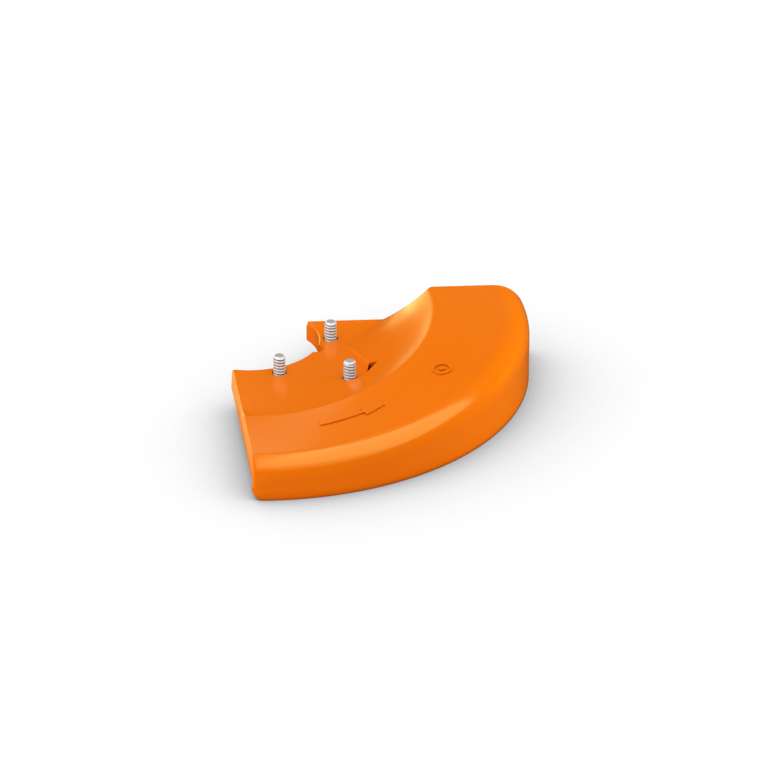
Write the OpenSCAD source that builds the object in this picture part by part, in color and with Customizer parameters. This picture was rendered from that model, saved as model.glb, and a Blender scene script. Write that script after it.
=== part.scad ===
// Blade guard for a brush cutter that carries a 250 mm saw blade.
// One moulded quarter ring with a ramp top, hollow below, and the three screws
// that hold it up against the gearbox flange. All sizes are in millimetres.
// Angles are measured about the rim axis, in plan, from +X towards +Y.

/* [Outer wall] */
// Radius of the outer wall
rim_r = 131.1; // [130:0.1:134]
// Offset of the rim axis from the gearbox axis, along X
rim_offset_x = 6.5; // [5:0.1:8]
// Offset of the rim axis from the gearbox axis, along Y
rim_offset_y = 0.7; // [0:0.1:1.5]
// Wall thickness below the skirt, beside the blade
wall_low_t = 3.9; // [3:0.1:4.1]
// Wall thickness above the skirt
wall_high_t = 4.2; // [4:0.1:4.6]
// Rounding of the outer wall's two bottom corners
corner_r = 6; // [3:0.5:8]

/* [Heights] */
// Height of the flat seat that meets the gearbox flange
seat_z = 19.7; // [18:0.1:22]
// Height of the lower edge of the skirt and of all ribs
skirt_z = 9; // [7:0.1:10]
// Height of the ramp top at the left end
ramp_low_z = 20.3; // [20.2:0.1:22]
// Height of the ramp top at the rear end
ramp_high_z = 37; // [32:0.5:40]
// Thickness of the top skin
skin_t = 3.2; // [2.4:0.1:3.6]

/* [Ramp and scoop] */
// Radius of the ridge between the scoop and the ramp
ridge_r = 84.5; // [82:0.5:87]
// Rounding of the ridge
crest_r = 4; // [2:0.5:5]
// Rim fillet radius at the left end
fillet_low_r = 11.2; // [9:0.1:11.6]
// Rim fillet radius at the rear end
fillet_high_r = 16; // [13:0.5:17]
// Angle of the crease where the rim fillet meets the top at the left end
crease_angle = 16; // [5:1:20]
// Distance of the straight seat edge from the gearbox axis
seat_edge_d = 43.9; // [42:0.1:46]
// Direction that the straight seat edge faces
seat_edge_dir = -36.8; // [-38:0.1:-35]
// Slope angle where the scoop leaves the seat, at the rear end
scoop_start_angle = 21.6; // [15:0.2:25]
// Slope angle where the scoop meets the ridge, at the rear end
scoop_end_angle = 55.2; // [50:0.2:58]

/* [End faces and gearbox recess] */
// Radius of the recess round the gearbox neck
recess_r = 34.1; // [33:0.1:35]
// Distance of the rear end face behind the gearbox axis
rear_y = 16.5; // [15:0.1:18]
// Distance of the left end face from the gearbox axis, at seat height
left_d = 12.44; // [11:0.02:14]
// Angle of the left end face away from the Y axis
left_turn = 4.03; // [2:0.01:6]
// Draft of the left end face
left_draft = 3.5; // [1:0.1:5]
// Thickness of the skirt under the end faces and the recess
skirt_t = 3; // [2.4:0.1:3.6]
// Bevel along the recess and the left end face
bevel = 1; // [0.4:0.1:1.4]
// Radius of the half-round notch in the recess
notch_r = 3.3; // [2.5:0.1:4]
// Place of the notch along X
notch_x = 31.8; // [31:0.1:32.5]
// Place of the notch along Y
notch_y = -14.2; // [-16:0.1:-12]

/* [Screws] */
// Outer radius of the screw thread
thread_r = 3; // [2.5:0.1:3]
// Radius of the plain shank between head and thread
shank_r = 2.65; // [2.2:0.05:2.7]
// Height of each thread above the seat
thread_l = 9.3; // [8:0.1:12]
// Radius of the clearance holes
hole_r = 3.45; // [3.2:0.05:3.8]
// Radius of the screw heads
head_r = 5; // [4.5:0.1:5.2]
// Height of the screw heads
head_h = 3.4; // [2.8:0.1:4]
// Outer radius of each screw boss
boss_r = 7.6; // [7:0.1:9]

/* [Pocket and ribs] */
// Radius of the pocket round the front screw
pocket_r = 8.6; // [8:0.1:9]
// Wall thickness round the pocket
pocket_wall_t = 2.8; // [2.2:0.1:3.2]
// Thickness of the ribs
rib_t = 2.4; // [1.8:0.1:3]
// Number of radial ribs under the ramp
rib_count = 6; // [4:1:8]

/* [Hidden] */
$fn = 96;
orange = [0.95, 0.42, 0.03];
zinc = [0.80, 0.81, 0.82];

// Plan places of the three screws, from the gearbox axis
left_screw = [12.7, -38.0];
front_screw = [46.5, -45.7];
rear_screw = [39.5, -3.2];

// Angles at which the ramp starts and ends, at the two ends of the ridge
ramp_start = -98.8;
ramp_end = 10.8;
// Part of the ramp over which the crease fades out
crease_fade = 0.75;
// Narrowest scoop, where the seat edge runs into the ridge
scoop_min_w = 6;

// The lofts run a little past both end faces, which cut them off
loft_start = -120;
loft_end = 36;
loft_step = 3;
loft_in_r = 15;
scoop_steps = 8;
crest_steps = 4;
fillet_steps = 8;

// Corners of the pocket in plan: on the seat edge, and at the small deep end recess
pocket_apex = [46.1, -11.5];
pocket_left = [24.0, -40.5];
pocket_corner = [56.3, -38.1];
slot_end = [60.2, -39.0];
slot_near = [56.6, -45.0];
// Foot of the pocket's leaning right wall, where the wall ends, and its lean from upright
wall_foot = [55.1, -41.1];
wall_lean = 28;

// A bottom corner's rounding starts this far outside the end face, so that it cuts it cleanly
corner_lap = 0.05;

// Screw tip chamfer, and the drive recess in the head
tip_l = 0.7;
drive_r = 2.5;
drive_depth = 2;

// Rib places: ends of the radial ribs and of the ring rib under the ridge
rib_first = -88;
rib_last = 2;
rib_in_r = ridge_r - 1;
rib_out_r = rim_r - 2;

// Derived values
blade_space_r = rim_r - wall_low_t;
edge_to_rim_axis = seat_edge_d
    - rim_offset_x * cos(seat_edge_dir) - rim_offset_y * sin(seat_edge_dir);
head_z = skirt_z;
screw_l = seat_z + thread_l - head_z;
left_foot_d = left_d + (seat_z - skirt_z) * tan(left_draft);
big = 400;

// The origin lies under the middle of the box round the whole guard
box_min_x = sin(left_turn) * sqrt(recess_r * recess_r - left_foot_d * left_foot_d)
    - cos(left_turn) * left_foot_d;
box_max_x = rim_offset_x + rim_r;
box_min_y = rim_offset_y - rim_r;
box_max_y = rear_y;
to_origin = [-(box_min_x + box_max_x) / 2, -(box_min_y + box_max_y) / 2, 0];

// Smooth step from 0 to 1, level at both ends
function smooth(t) = let (u = min(1, max(0, t))) u * u * (3 - 2 * u);

// Part of the ramp passed at an angle, height of its top, and its rim fillet
function ramp_part(a) = min(1, max(0, (a - ramp_start) / (ramp_end - ramp_start)));
function ramp_z(a) = ramp_low_z + (ramp_high_z - ramp_low_z) * smooth(ramp_part(a));
function fillet_r(a) = fillet_low_r + (fillet_high_r - fillet_low_r) * pow(ramp_part(a), 4);
function crease(a) = crease_angle * (1 - smooth(ramp_part(a) / crease_fade));
function fillet_z(a) = ramp_z(a) - fillet_r(a) * cos(crease(a));

// Radius of the straight seat edge at an angle
function seat_edge_r(a) = let (turn = min(80, abs(a - seat_edge_dir)))
    min(edge_to_rim_axis / cos(turn), ridge_r - scoop_min_w);

// The scoop's section is a circular arc, scaled to fit between seat edge and ridge
sin_start = sin(scoop_start_angle);
sin_end = sin(scoop_end_angle);
arc_rise = cos(scoop_start_angle) - cos(scoop_end_angle);
function scoop_sin(t) = sin_start + t * (sin_end - sin_start);
function scoop_rise(t) = (cos(scoop_start_angle) - sqrt(1 - pow(scoop_sin(t), 2))) / arc_rise;
function scoop_grade(t) = scoop_sin(t) * (sin_end - sin_start)
    / sqrt(1 - pow(scoop_sin(t), 2)) / arc_rise;
function scoop_slope(a, t) = atan(
    scoop_grade(t) * (ramp_z(a) - seat_z) / (ridge_r - seat_edge_r(a)));
function scoop_point(a, t) = [
    seat_edge_r(a) + t * (ridge_r - seat_edge_r(a)),
    seat_z + scoop_rise(t) * (ramp_z(a) - seat_z)];

// Part of the scoop that the rounding of the ridge leaves
function crest_reach(a) = crest_r * tan(scoop_slope(a, 1) / 2);
function scoop_left(a) = 1 - crest_reach(a) * cos(scoop_slope(a, 1))
    / (ridge_r - seat_edge_r(a));

// Outline of the whole guard in the upright plane at an angle, as [radius, height]
function outer_section(a) = let (
    slope = scoop_slope(a, 1),
    reach = crest_reach(a),
    fr = fillet_r(a),
    cr = crease(a)) concat(
    [[loft_in_r, 0], [loft_in_r, seat_z]],
    [for (i = [0 : scoop_steps]) scoop_point(a, scoop_left(a) * i / scoop_steps)],
    [for (i = [1 : crest_steps]) let (s = slope * (1 - i / crest_steps))
        [ridge_r + reach - crest_r * sin(s), ramp_z(a) - crest_r * (1 - cos(s))]],
    [for (i = [0 : fillet_steps]) let (s = cr + (90 - cr) * i / fillet_steps)
        [rim_r - fr + fr * sin(s), fillet_z(a) + fr * cos(s)]],
    [[rim_r, 0]]);

// Outline of the hollow in the same plane, one skin thickness inside
function hollow_section(a) = let (
    slope = scoop_slope(a, 1),
    fr = fillet_r(a),
    in_r = fr - wall_high_t,
    cr = crease(a)) concat(
    [[loft_in_r + 2, skirt_z - 1], [loft_in_r + 2, seat_z - skin_t]],
    [for (i = [0 : scoop_steps - 1])
        let (t = i / scoop_steps, s = scoop_slope(a, t), p = scoop_point(a, t))
        [p[0] + skin_t * sin(s), p[1] - skin_t * cos(s)]],
    [[ridge_r + skin_t * tan(slope / 2), ramp_z(a) - skin_t]],
    [for (i = [0 : fillet_steps]) let (s = cr + (90 - cr) * i / fillet_steps)
        [rim_r - fr + in_r * sin(s), fillet_z(a) + in_r * cos(s)
            + (wall_high_t - skin_t) * (1 - i / fillet_steps)]],
    [[rim_r - wall_high_t, skirt_z - 1]]);

// Skin over upright sections that stand round the rim axis
module loft(sections, angles) {
    n = len(sections[0]);
    last = len(sections) - 1;
    points = [for (k = [0 : last]) for (p = sections[k])
        [rim_offset_x + p[0] * cos(angles[k]), rim_offset_y + p[0] * sin(angles[k]), p[1]]];
    sides = [for (k = [0 : last - 1]) for (i = [0 : n - 1])
        let (a = k * n + i, b = k * n + (i + 1) % n)
        for (f = [[a, b + n, b], [a, a + n, b + n]]) f];
    caps = [[for (i = [0 : n - 1]) i], [for (i = [n - 1 : -1 : 0]) last * n + i]];
    polyhedron(points, concat(sides, caps), convexity = 8);
}

loft_angles = [for (a = [loft_start : loft_step : loft_end]) a];

module outer_form() {
    loft([for (a = loft_angles) outer_section(a)], loft_angles);
}

// Everything to the left of the left end face, moved in by an inset
module left_side(inset) {
    rotate(left_turn)
        translate([-left_d + inset, 0, seat_z])
            rotate([0, left_draft, 0])
                translate([-big, -big / 2, -big / 2]) cube(big);
}

// Everything behind the rear end face, moved in by an inset
module rear_side(inset) {
    translate([-big / 2, rear_y - inset, -big / 2]) cube(big);
}

// Round column on the gearbox axis, and its bevel at seat height
module recess(grow = 0) {
    translate([0, 0, -1]) cylinder(r = recess_r + grow, h = seat_z + 2);
}

module recess_bevel() {
    translate([0, 0, seat_z - bevel])
        cylinder(r1 = recess_r, r2 = recess_r + 2 * bevel, h = 2 * bevel);
}

// Half-round notch, open towards the gearbox
module notch() {
    translate([notch_x, notch_y, -1]) cylinder(r = notch_r, h = seat_z + 2, $fn = 48);
    translate([notch_x - 2 * notch_r, notch_y - notch_r, -1])
        cube([2 * notch_r, 2 * notch_r, seat_z + 2]);
}

// Bevel along the top of the left end face
module left_bevel() {
    rotate(left_turn)
        translate([-left_d + bevel, 0, seat_z])
            rotate([0, -45, 0])
                translate([-big / 2, -big / 2, 0]) cube(big);
}

// The space under the skirt, where the blade turns
module blade_space() {
    translate([rim_offset_x, rim_offset_y, -1])
        cylinder(r = blade_space_r, h = skirt_z + 1, $fn = 180);
}

// Rounds a bottom corner: the end face stands on the Y axis, and the wall runs along +X
module corner_cut() {
    translate([-corner_lap, 0, 0]) difference() {
        translate([-corner_r, -corner_r, -corner_r])
            cube([2 * corner_r, 5 * corner_r, 2 * corner_r]);
        translate([corner_r, -2 * corner_r, corner_r])
            rotate([-90, 0, 0]) cylinder(r = corner_r, h = 7 * corner_r, $fn = 64);
    }
}

module corner_cuts() {
    rotate(left_turn)
        translate([-left_d - (seat_z - corner_r) * tan(left_draft), -rim_r - 2 * corner_r, 0])
            corner_cut();
    translate([rim_r - corner_r, rear_y, 0]) rotate(-90) corner_cut();
}

// Point where a line from outside touches a circle round the front screw;
// side is 1 for the touch point turned left of the way to the outside point
function touch(from, r, side) = let (
    way = from - front_screw,
    dir = atan2(way[1], way[0]) + side * acos(r / norm(way)))
    front_screw + r * [cos(dir), sin(dir)];

// Plan of the pocket round the front screw, open towards the seat
module pocket_plan(grow = 0) {
    r = pocket_r + grow;
    far = [grow, grow];
    polygon([
        front_screw,
        touch(pocket_left, r, 1),
        pocket_left,
        pocket_apex,
        pocket_corner + far,
        slot_end + far,
        touch(slot_end + far, r, -1)]);
    translate(front_screw) circle(r = r, $fn = 64);
}

// The pocket has one leaning wall; past its foot a slot goes through to the hollow
module pocket() {
    run = wall_foot - pocket_apex;
    difference() {
        translate([0, 0, seat_z]) linear_extrude(big / 8) pocket_plan();
        translate([pocket_apex[0], pocket_apex[1], seat_z])
            rotate(atan2(run[1], run[0]))
                rotate([-wall_lean, 0, 0])
                    translate([-pocket_r, 0, -pocket_r])
                        cube([norm(run) + pocket_r, 3 * pocket_r, 4 * pocket_r]);
    }
    translate([0, 0, skirt_z])
        linear_extrude(seat_z) polygon([wall_foot, pocket_corner, slot_end, slot_near]);
}

// Round screw boss, down to the skirt's lower edge, where the screw head seats
module boss(place) {
    translate([place[0], place[1], skirt_z - 2])
        cylinder(r = boss_r, h = seat_z - skirt_z, $fn = 64);
}

module screw_hole(place) {
    translate([place[0], place[1], -1]) cylinder(r = hole_r, h = seat_z + 2, $fn = 48);
}

// Ribs under the ramp: radial ones, and a ring under the ridge
module ribs() {
    translate([rim_offset_x, rim_offset_y, 0]) {
        for (i = [0 : rib_count - 1])
            rotate(rib_first + (rib_last - rib_first) * i / (rib_count - 1))
                translate([rib_in_r, -rib_t / 2, skirt_z - 2])
                    cube([rib_out_r - rib_in_r, rib_t, ramp_high_z]);
        difference() {
            translate([0, 0, skirt_z - 2]) cylinder(r = ridge_r + rib_t / 2, h = ramp_high_z);
            translate([0, 0, skirt_z - 3]) cylinder(r = ridge_r - rib_t / 2, h = big);
        }
    }
}

// The hollow above the skirt's edge, with the ribs and bosses left standing
module hollow() {
    difference() {
        loft([for (a = loft_angles) hollow_section(a)], loft_angles);
        left_side(skirt_t);
        rear_side(skirt_t);
        recess(skirt_t);
        ribs();
        for (place = [left_screw, front_screw, rear_screw]) boss(place);
        translate([0, 0, seat_z - skin_t]) linear_extrude(big / 8) pocket_plan(pocket_wall_t);
    }
}

module guard_shell() {
    color(orange) translate(to_origin) difference() {
        outer_form();
        left_side(0);
        rear_side(0);
        recess();
        recess_bevel();
        left_bevel();
        blade_space();
        corner_cuts();
        hollow();
        notch();
        pocket();
        for (place = [left_screw, front_screw, rear_screw]) screw_hole(place);
    }
}

// Pan head screw: domed head below, plain shank, then the thread's outer form above the seat
module screw(place) {
    dome = head_h - 1.2;
    color(zinc) translate(to_origin + [place[0], place[1], head_z]) difference() {
        rotate_extrude() polygon(concat(
            [for (i = [0 : 6]) let (s = 90 * i / 6)
                [head_r * sin(s), -1.2 - dome * cos(s)]],
            [[head_r, 0], [shank_r, 0],
             [shank_r, seat_z - head_z], [thread_r, seat_z - head_z + thread_r - shank_r],
             [thread_r, screw_l - tip_l], [thread_r - tip_l, screw_l], [0, screw_l]]));
        translate([0, 0, -head_h - 1]) linear_extrude(1 + drive_depth) drive_plan();
    }
}

// Six-lobed drive in the screw head
module drive_plan() {
    difference() {
        circle(r = drive_r, $fn = 48);
        for (i = [0 : 5])
            rotate(60 * i + 30) translate([drive_r * 1.02, 0]) circle(r = drive_r * 0.24, $fn = 24);
    }
}

module screw_left() { screw(left_screw); }
module screw_front() { screw(front_screw); }
module screw_rear() { screw(rear_screw); }

guard_shell();
screw_left();
screw_front();
screw_rear();
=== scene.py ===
"""Blade guard of a brush cutter: a moulded plastic quarter ring and its three screws.

Lengths are in metres and angles in degrees. Plan places are measured from the gearbox
axis, and angles round the rim axis, from +X towards +Y, until a mesh is made.
"""

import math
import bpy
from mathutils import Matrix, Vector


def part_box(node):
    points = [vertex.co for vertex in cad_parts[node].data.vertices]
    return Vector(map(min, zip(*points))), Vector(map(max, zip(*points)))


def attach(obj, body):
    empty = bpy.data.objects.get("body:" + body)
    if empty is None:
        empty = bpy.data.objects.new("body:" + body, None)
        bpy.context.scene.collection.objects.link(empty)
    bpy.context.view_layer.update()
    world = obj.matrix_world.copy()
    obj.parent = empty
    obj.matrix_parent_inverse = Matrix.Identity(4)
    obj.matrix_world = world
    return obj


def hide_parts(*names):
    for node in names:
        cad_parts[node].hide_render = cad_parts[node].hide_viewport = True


bl_info = {
    "name": "Trimmer Blade Guard",
    "version": (1, 0, 0),
    "blender": (4, 5, 0),
    "location": "View3D > Sidebar > Blade Guard",
    "description": "Builds a moulded blade guard, its three screws and a small studio",
    "category": "Add Mesh",
}

import bmesh
import bpy
import numpy as np
from mathutils import Vector

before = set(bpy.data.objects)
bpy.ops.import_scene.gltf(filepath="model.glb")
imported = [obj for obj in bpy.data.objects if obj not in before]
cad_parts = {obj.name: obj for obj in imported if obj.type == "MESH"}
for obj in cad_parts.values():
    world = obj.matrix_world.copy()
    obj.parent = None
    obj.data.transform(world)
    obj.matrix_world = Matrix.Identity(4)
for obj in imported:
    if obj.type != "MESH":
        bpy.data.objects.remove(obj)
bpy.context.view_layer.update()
GUARD_NODE = "guard_shell"
SCREW_NODES = ("screw_left", "screw_front", "screw_rear")

MM = 0.001
GUARD_LOW, GUARD_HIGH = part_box(GUARD_NODE)
SCREW_LOW, SCREW_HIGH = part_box(SCREW_NODES[0])


# Sizes that a user would change

class GuardShape(bpy.types.PropertyGroup):
    """Sizes of the moulded guard."""

    rim_r: bpy.props.FloatProperty(
        name="Rim radius", description="Radius of the outer wall",
        default=131.1 * MM, unit="LENGTH")
    wall_low_t: bpy.props.FloatProperty(
        name="Low wall", description="Thickness of the outer wall beside the blade",
        default=3.9 * MM, unit="LENGTH")
    wall_high_t: bpy.props.FloatProperty(
        name="High wall", description="Thickness of the outer wall above the skirt",
        default=4.2 * MM, unit="LENGTH")
    skin_t: bpy.props.FloatProperty(
        name="Skin", description="Thickness of the top skin",
        default=3.2 * MM, unit="LENGTH")
    seat_z: bpy.props.FloatProperty(
        name="Seat height", description="Height of the flat seat under the gearbox flange",
        default=19.7 * MM, unit="LENGTH")
    skirt_z: bpy.props.FloatProperty(
        name="Skirt height", description="Height of the skirt's lower edge",
        default=9.0 * MM, unit="LENGTH")
    ramp_low_z: bpy.props.FloatProperty(
        name="Ramp start", description="Height of the ramp at the left end",
        default=20.3 * MM, unit="LENGTH")
    ramp_high_z: bpy.props.FloatProperty(
        name="Ramp top", description="Height of the ramp at the rear end",
        default=GUARD_HIGH.z, unit="LENGTH")
    ridge_r: bpy.props.FloatProperty(
        name="Ridge radius", description="Radius of the ridge between scoop and ramp",
        default=84.5 * MM, unit="LENGTH")
    edge_r: bpy.props.FloatProperty(
        name="Edge rounding", description="Rounding along the end faces and the recess",
        default=1.1 * MM, unit="LENGTH")
    corner_r: bpy.props.FloatProperty(
        name="Corner rounding", description="Rounding of the outer wall's bottom corners",
        default=6.0 * MM, unit="LENGTH")
    mark_h: bpy.props.FloatProperty(
        name="Mark height", description="Height of the raised arrow and ring mark",
        default=0.70 * MM, unit="LENGTH")
    rib_count: bpy.props.IntProperty(
        name="Ribs", description="Number of radial ribs under the ramp", default=6, min=2)


class GuardFinish(bpy.types.PropertyGroup):
    """Colours and surface of the guard and the screws."""

    plastic: bpy.props.FloatVectorProperty(
        name="Plastic", description="Colour of the moulded plastic",
        default=(0.70, 0.145, 0.0006), subtype="COLOR", size=3, min=0, max=1)
    # Painted shade: the dark red that ambient occlusion mixes into the plastic in corners and slots.
    crevice_shade: bpy.props.FloatVectorProperty(
        name="Crevice", description="Colour of the plastic deep in corners and slots",
        default=(0.16, 0.012, 0.0005), subtype="COLOR", size=3, min=0, max=1)
    plastic_rough: bpy.props.FloatProperty(
        name="Plastic roughness", description="Roughness of the moulded plastic",
        default=0.155, min=0, max=1, subtype="FACTOR")
    zinc: bpy.props.FloatVectorProperty(
        name="Zinc", description="Colour of the zinc plated screws",
        default=(0.80, 0.81, 0.82), subtype="COLOR", size=3, min=0, max=1)
    # Painted shade: the dark grey that the zinc turns to in the thread's grooves.
    groove: bpy.props.FloatVectorProperty(
        name="Groove", description="Colour of the screws in the grooves of the thread",
        default=(0.16, 0.16, 0.17), subtype="COLOR", size=3, min=0, max=1)


class ScrewShape(bpy.types.PropertyGroup):
    """Sizes of the three screws."""

    thread_r: bpy.props.FloatProperty(
        name="Thread radius", description="Outer radius of the thread",
        default=3.0 * MM, unit="LENGTH")
    thread_depth: bpy.props.FloatProperty(
        name="Thread depth", description="Depth of the thread",
        default=0.5 * MM, unit="LENGTH")
    pitch: bpy.props.FloatProperty(
        name="Pitch", description="Distance from one thread crest to the next",
        default=1.55 * MM, unit="LENGTH")
    head_r: bpy.props.FloatProperty(
        name="Head radius", description="Radius of the screw head",
        default=5.0 * MM, unit="LENGTH")
    head_h: bpy.props.FloatProperty(
        name="Head height", description="Height of the screw head",
        default=3.4 * MM, unit="LENGTH")


class StudioSettings(bpy.types.PropertyGroup):
    """Light, floor and camera."""

    azimuth: bpy.props.FloatProperty(
        name="Azimuth", description="Camera direction round the guard, in degrees",
        default=-3.7)
    elevation: bpy.props.FloatProperty(
        name="Elevation", description="Camera height above the horizon, in degrees",
        default=27.7)
    distance: bpy.props.FloatProperty(
        name="Distance", description="Distance from the camera to its aim",
        default=2.2167, unit="LENGTH")
    floor_grey: bpy.props.FloatProperty(
        name="Floor", description="Brightness of the floor", default=0.9, min=0, max=1)
    shade_reach: bpy.props.FloatProperty(
        name="Shade reach", description="How far the soft shade on the floor reaches",
        default=70 * MM, unit="LENGTH")
    soft_light: bpy.props.FloatProperty(
        name="Soft light", description="Strength of the even light from all round",
        default=0.66, min=0, max=2)


# Fixed proportions of the guard

RIM_FROM_GEARBOX = (6.5 * MM, 0.7 * MM)
CREST_R = 4.0 * MM
TIP_IN = 1.2 * MM
FILLET_LOW_R, FILLET_HIGH_R = 11.2 * MM, 16.0 * MM
CREASE_ANGLE, CREASE_FADE = 16.0, 0.75
SEAT_EDGE_D, SEAT_EDGE_DIR = 43.9 * MM, -36.8
SCOOP_START_ANGLE, SCOOP_END_ANGLE = 21.6, 55.2
SCOOP_MIN_W = 6.0 * MM
RAMP_START, RAMP_END = -98.8, 10.8
RECESS_R = 34.1 * MM
REAR_Y = 16.5 * MM
LEFT_D, LEFT_TURN, LEFT_DRAFT = 12.44 * MM, 4.03, 3.5
SKIRT_T = 3.0 * MM
NOTCH_R, NOTCH_PLACE = 4.0 * MM, (31.8 * MM, -13.5 * MM)
HOLE_R, HOLE_FLARE = 3.45 * MM, 0.25 * MM
BOSS_R = 7.6 * MM
POCKET_R, POCKET_WALL_T = 8.6 * MM, 2.8 * MM
POCKET_APEX = (46.1 * MM, -11.5 * MM)
POCKET_LEFT = (24.0 * MM, -40.5 * MM)
POCKET_CORNER = (56.3 * MM, -38.1 * MM)
SLOT_END, SLOT_NEAR = (60.2 * MM, -39.0 * MM), (56.6 * MM, -45.0 * MM)
WALL_FOOT, WALL_LEAN = (55.1 * MM, -41.1 * MM), 28.0
RIB_T, RIB_FIRST, RIB_LAST = 2.4 * MM, -88.0, 2.0

# Number of steps along each stretch of the section
RECESS_STEPS, SEAT_STEPS, SCOOP_STEPS, CREST_STEPS = 5, 16, 26, 8
RAMP_STEPS, FILLET_STEPS, WALL_STEPS, ROUND_STEPS = 26, 20, 10, 5
COLUMNS = 200


def rim_axis():
    """Plan place of the rim axis in the row frame, from the frame's own box."""
    r = bpy.context.scene.guard_shape.rim_r
    return np.array([GUARD_HIGH.x - r, GUARD_LOW.y + r])


def gearbox_axis():
    return rim_axis() - np.array(RIM_FROM_GEARBOX)


def sin(a):
    return np.sin(np.radians(a))


def cos(a):
    return np.cos(np.radians(a))


# Laws of the moulded form, over arrays of angles round the rim axis

def smooth(t):
    u = np.clip(t, 0, 1)
    return u * u * (3 - 2 * u)


def ramp_part(a):
    return np.clip((a - RAMP_START) / (RAMP_END - RAMP_START), 0, 1)


def ramp_z(shape, a):
    return shape.ramp_low_z + (shape.ramp_high_z - shape.ramp_low_z) * smooth(ramp_part(a))


def fillet_r(a):
    return FILLET_LOW_R + (FILLET_HIGH_R - FILLET_LOW_R) * ramp_part(a) ** 4


def crease(a):
    return CREASE_ANGLE * (1 - smooth(ramp_part(a) / CREASE_FADE))


def seat_edge_r(shape, a):
    """Distance of the straight seat edge from the rim axis."""
    from_rim = SEAT_EDGE_D - RIM_FROM_GEARBOX[0] * cos(SEAT_EDGE_DIR) \
        - RIM_FROM_GEARBOX[1] * sin(SEAT_EDGE_DIR)
    turn = np.minimum(80, np.abs(a - SEAT_EDGE_DIR))
    return np.minimum(from_rim / cos(turn), shape.ridge_r - SCOOP_MIN_W)


def scoop_sin(t):
    return sin(SCOOP_START_ANGLE) + t * (sin(SCOOP_END_ANGLE) - sin(SCOOP_START_ANGLE))


def scoop_rise(t):
    full = cos(SCOOP_START_ANGLE) - cos(SCOOP_END_ANGLE)
    return (cos(SCOOP_START_ANGLE) - np.sqrt(1 - scoop_sin(t) ** 2)) / full


def scoop_grade(shape, a, t):
    """Slope of the scoop, as rise over run."""
    full = cos(SCOOP_START_ANGLE) - cos(SCOOP_END_ANGLE)
    step = sin(SCOOP_END_ANGLE) - sin(SCOOP_START_ANGLE)
    grade = scoop_sin(t) * step / np.sqrt(1 - scoop_sin(t) ** 2) / full
    return grade * (ramp_z(shape, a) - shape.seat_z) / (shape.ridge_r - seat_edge_r(shape, a))


def crest_reach(shape, a):
    """Part of the ridge's neighbours that its rounding takes, and the slope below it."""
    slope = np.degrees(np.arctan(scoop_grade(shape, a, 1.0)))
    return CREST_R * np.tan(np.radians(slope / 2)), slope


def recess_from_rim(a, r):
    """Distance from the rim axis to a circle of radius r round the gearbox axis."""
    off = np.array(RIM_FROM_GEARBOX)
    along = -(off[0] * cos(a) + off[1] * sin(a))
    return along + np.sqrt(r * r - off @ off + along * along)


def outer_section(shape, a, bottom):
    """Closed outline of the solid in the upright plane at each angle, as arrays of radius and height."""
    e = shape.edge_r
    inner = recess_from_rim(a, RECESS_R - TIP_IN * np.clip((a + 20) / 54, 0, 1))
    edge = seat_edge_r(shape, a)
    top = ramp_z(shape, a)
    reach, slope = crest_reach(shape, a)
    scoop_left = 1 - reach * cos(slope) / (shape.ridge_r - edge)
    fr, cr = fillet_r(a), crease(a)
    fillet_low = top - fr * cos(cr)
    blade_r = shape.rim_r - shape.wall_low_t
    points = []

    def add(r, z):
        points.append((r + 0 * a, z + 0 * a))

    for i in range(RECESS_STEPS):
        add(inner, shape.skirt_z + (shape.seat_z - e - shape.skirt_z) * i / RECESS_STEPS)
    for i in range(ROUND_STEPS):
        turn = 90 * i / ROUND_STEPS
        add(inner + e * (1 - cos(turn)), shape.seat_z - e * (1 - sin(turn)))
    for i in range(SEAT_STEPS):
        add(inner + e + (edge - inner - e) * i / SEAT_STEPS, shape.seat_z)
    for i in range(SCOOP_STEPS + 1):
        t = scoop_left * i / SCOOP_STEPS
        add(edge + t * (shape.ridge_r - edge),
            shape.seat_z + scoop_rise(t) * (top - shape.seat_z))
    for i in range(1, CREST_STEPS + 1):
        turn = slope * (1 - i / CREST_STEPS)
        add(shape.ridge_r + reach - CREST_R * sin(turn), top - CREST_R * (1 - cos(turn)))
    ramp_from = shape.ridge_r + reach
    ramp_to = shape.rim_r - fr + fr * sin(cr)
    for i in range(1, RAMP_STEPS):
        add(ramp_from + (ramp_to - ramp_from) * i / RAMP_STEPS, top)
    for i in range(FILLET_STEPS + 1):
        turn = cr + (90 - cr) * i / FILLET_STEPS
        add(shape.rim_r - fr + fr * sin(turn), fillet_low + fr * cos(turn))
    foot = 0.4 * MM
    for i in range(1, WALL_STEPS + 1):
        add(shape.rim_r, fillet_low + (bottom + foot - fillet_low) * i / WALL_STEPS)
    add(shape.rim_r - 0.12 * MM, bottom + 0.12 * MM)
    add(shape.rim_r - foot, bottom)
    add(blade_r + foot, bottom)
    add(blade_r + 0.12 * MM, bottom + 0.12 * MM)
    add(blade_r, bottom + foot)
    for i in range(1, 5):
        add(blade_r, bottom + foot + (shape.skirt_z - bottom - foot) * i / 4)
    for i in range(1, 8):
        add(blade_r + (inner - blade_r) * i / 8, shape.skirt_z)
    r, z = zip(*points)
    return np.stack(r, -1), np.stack(z, -1)


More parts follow.
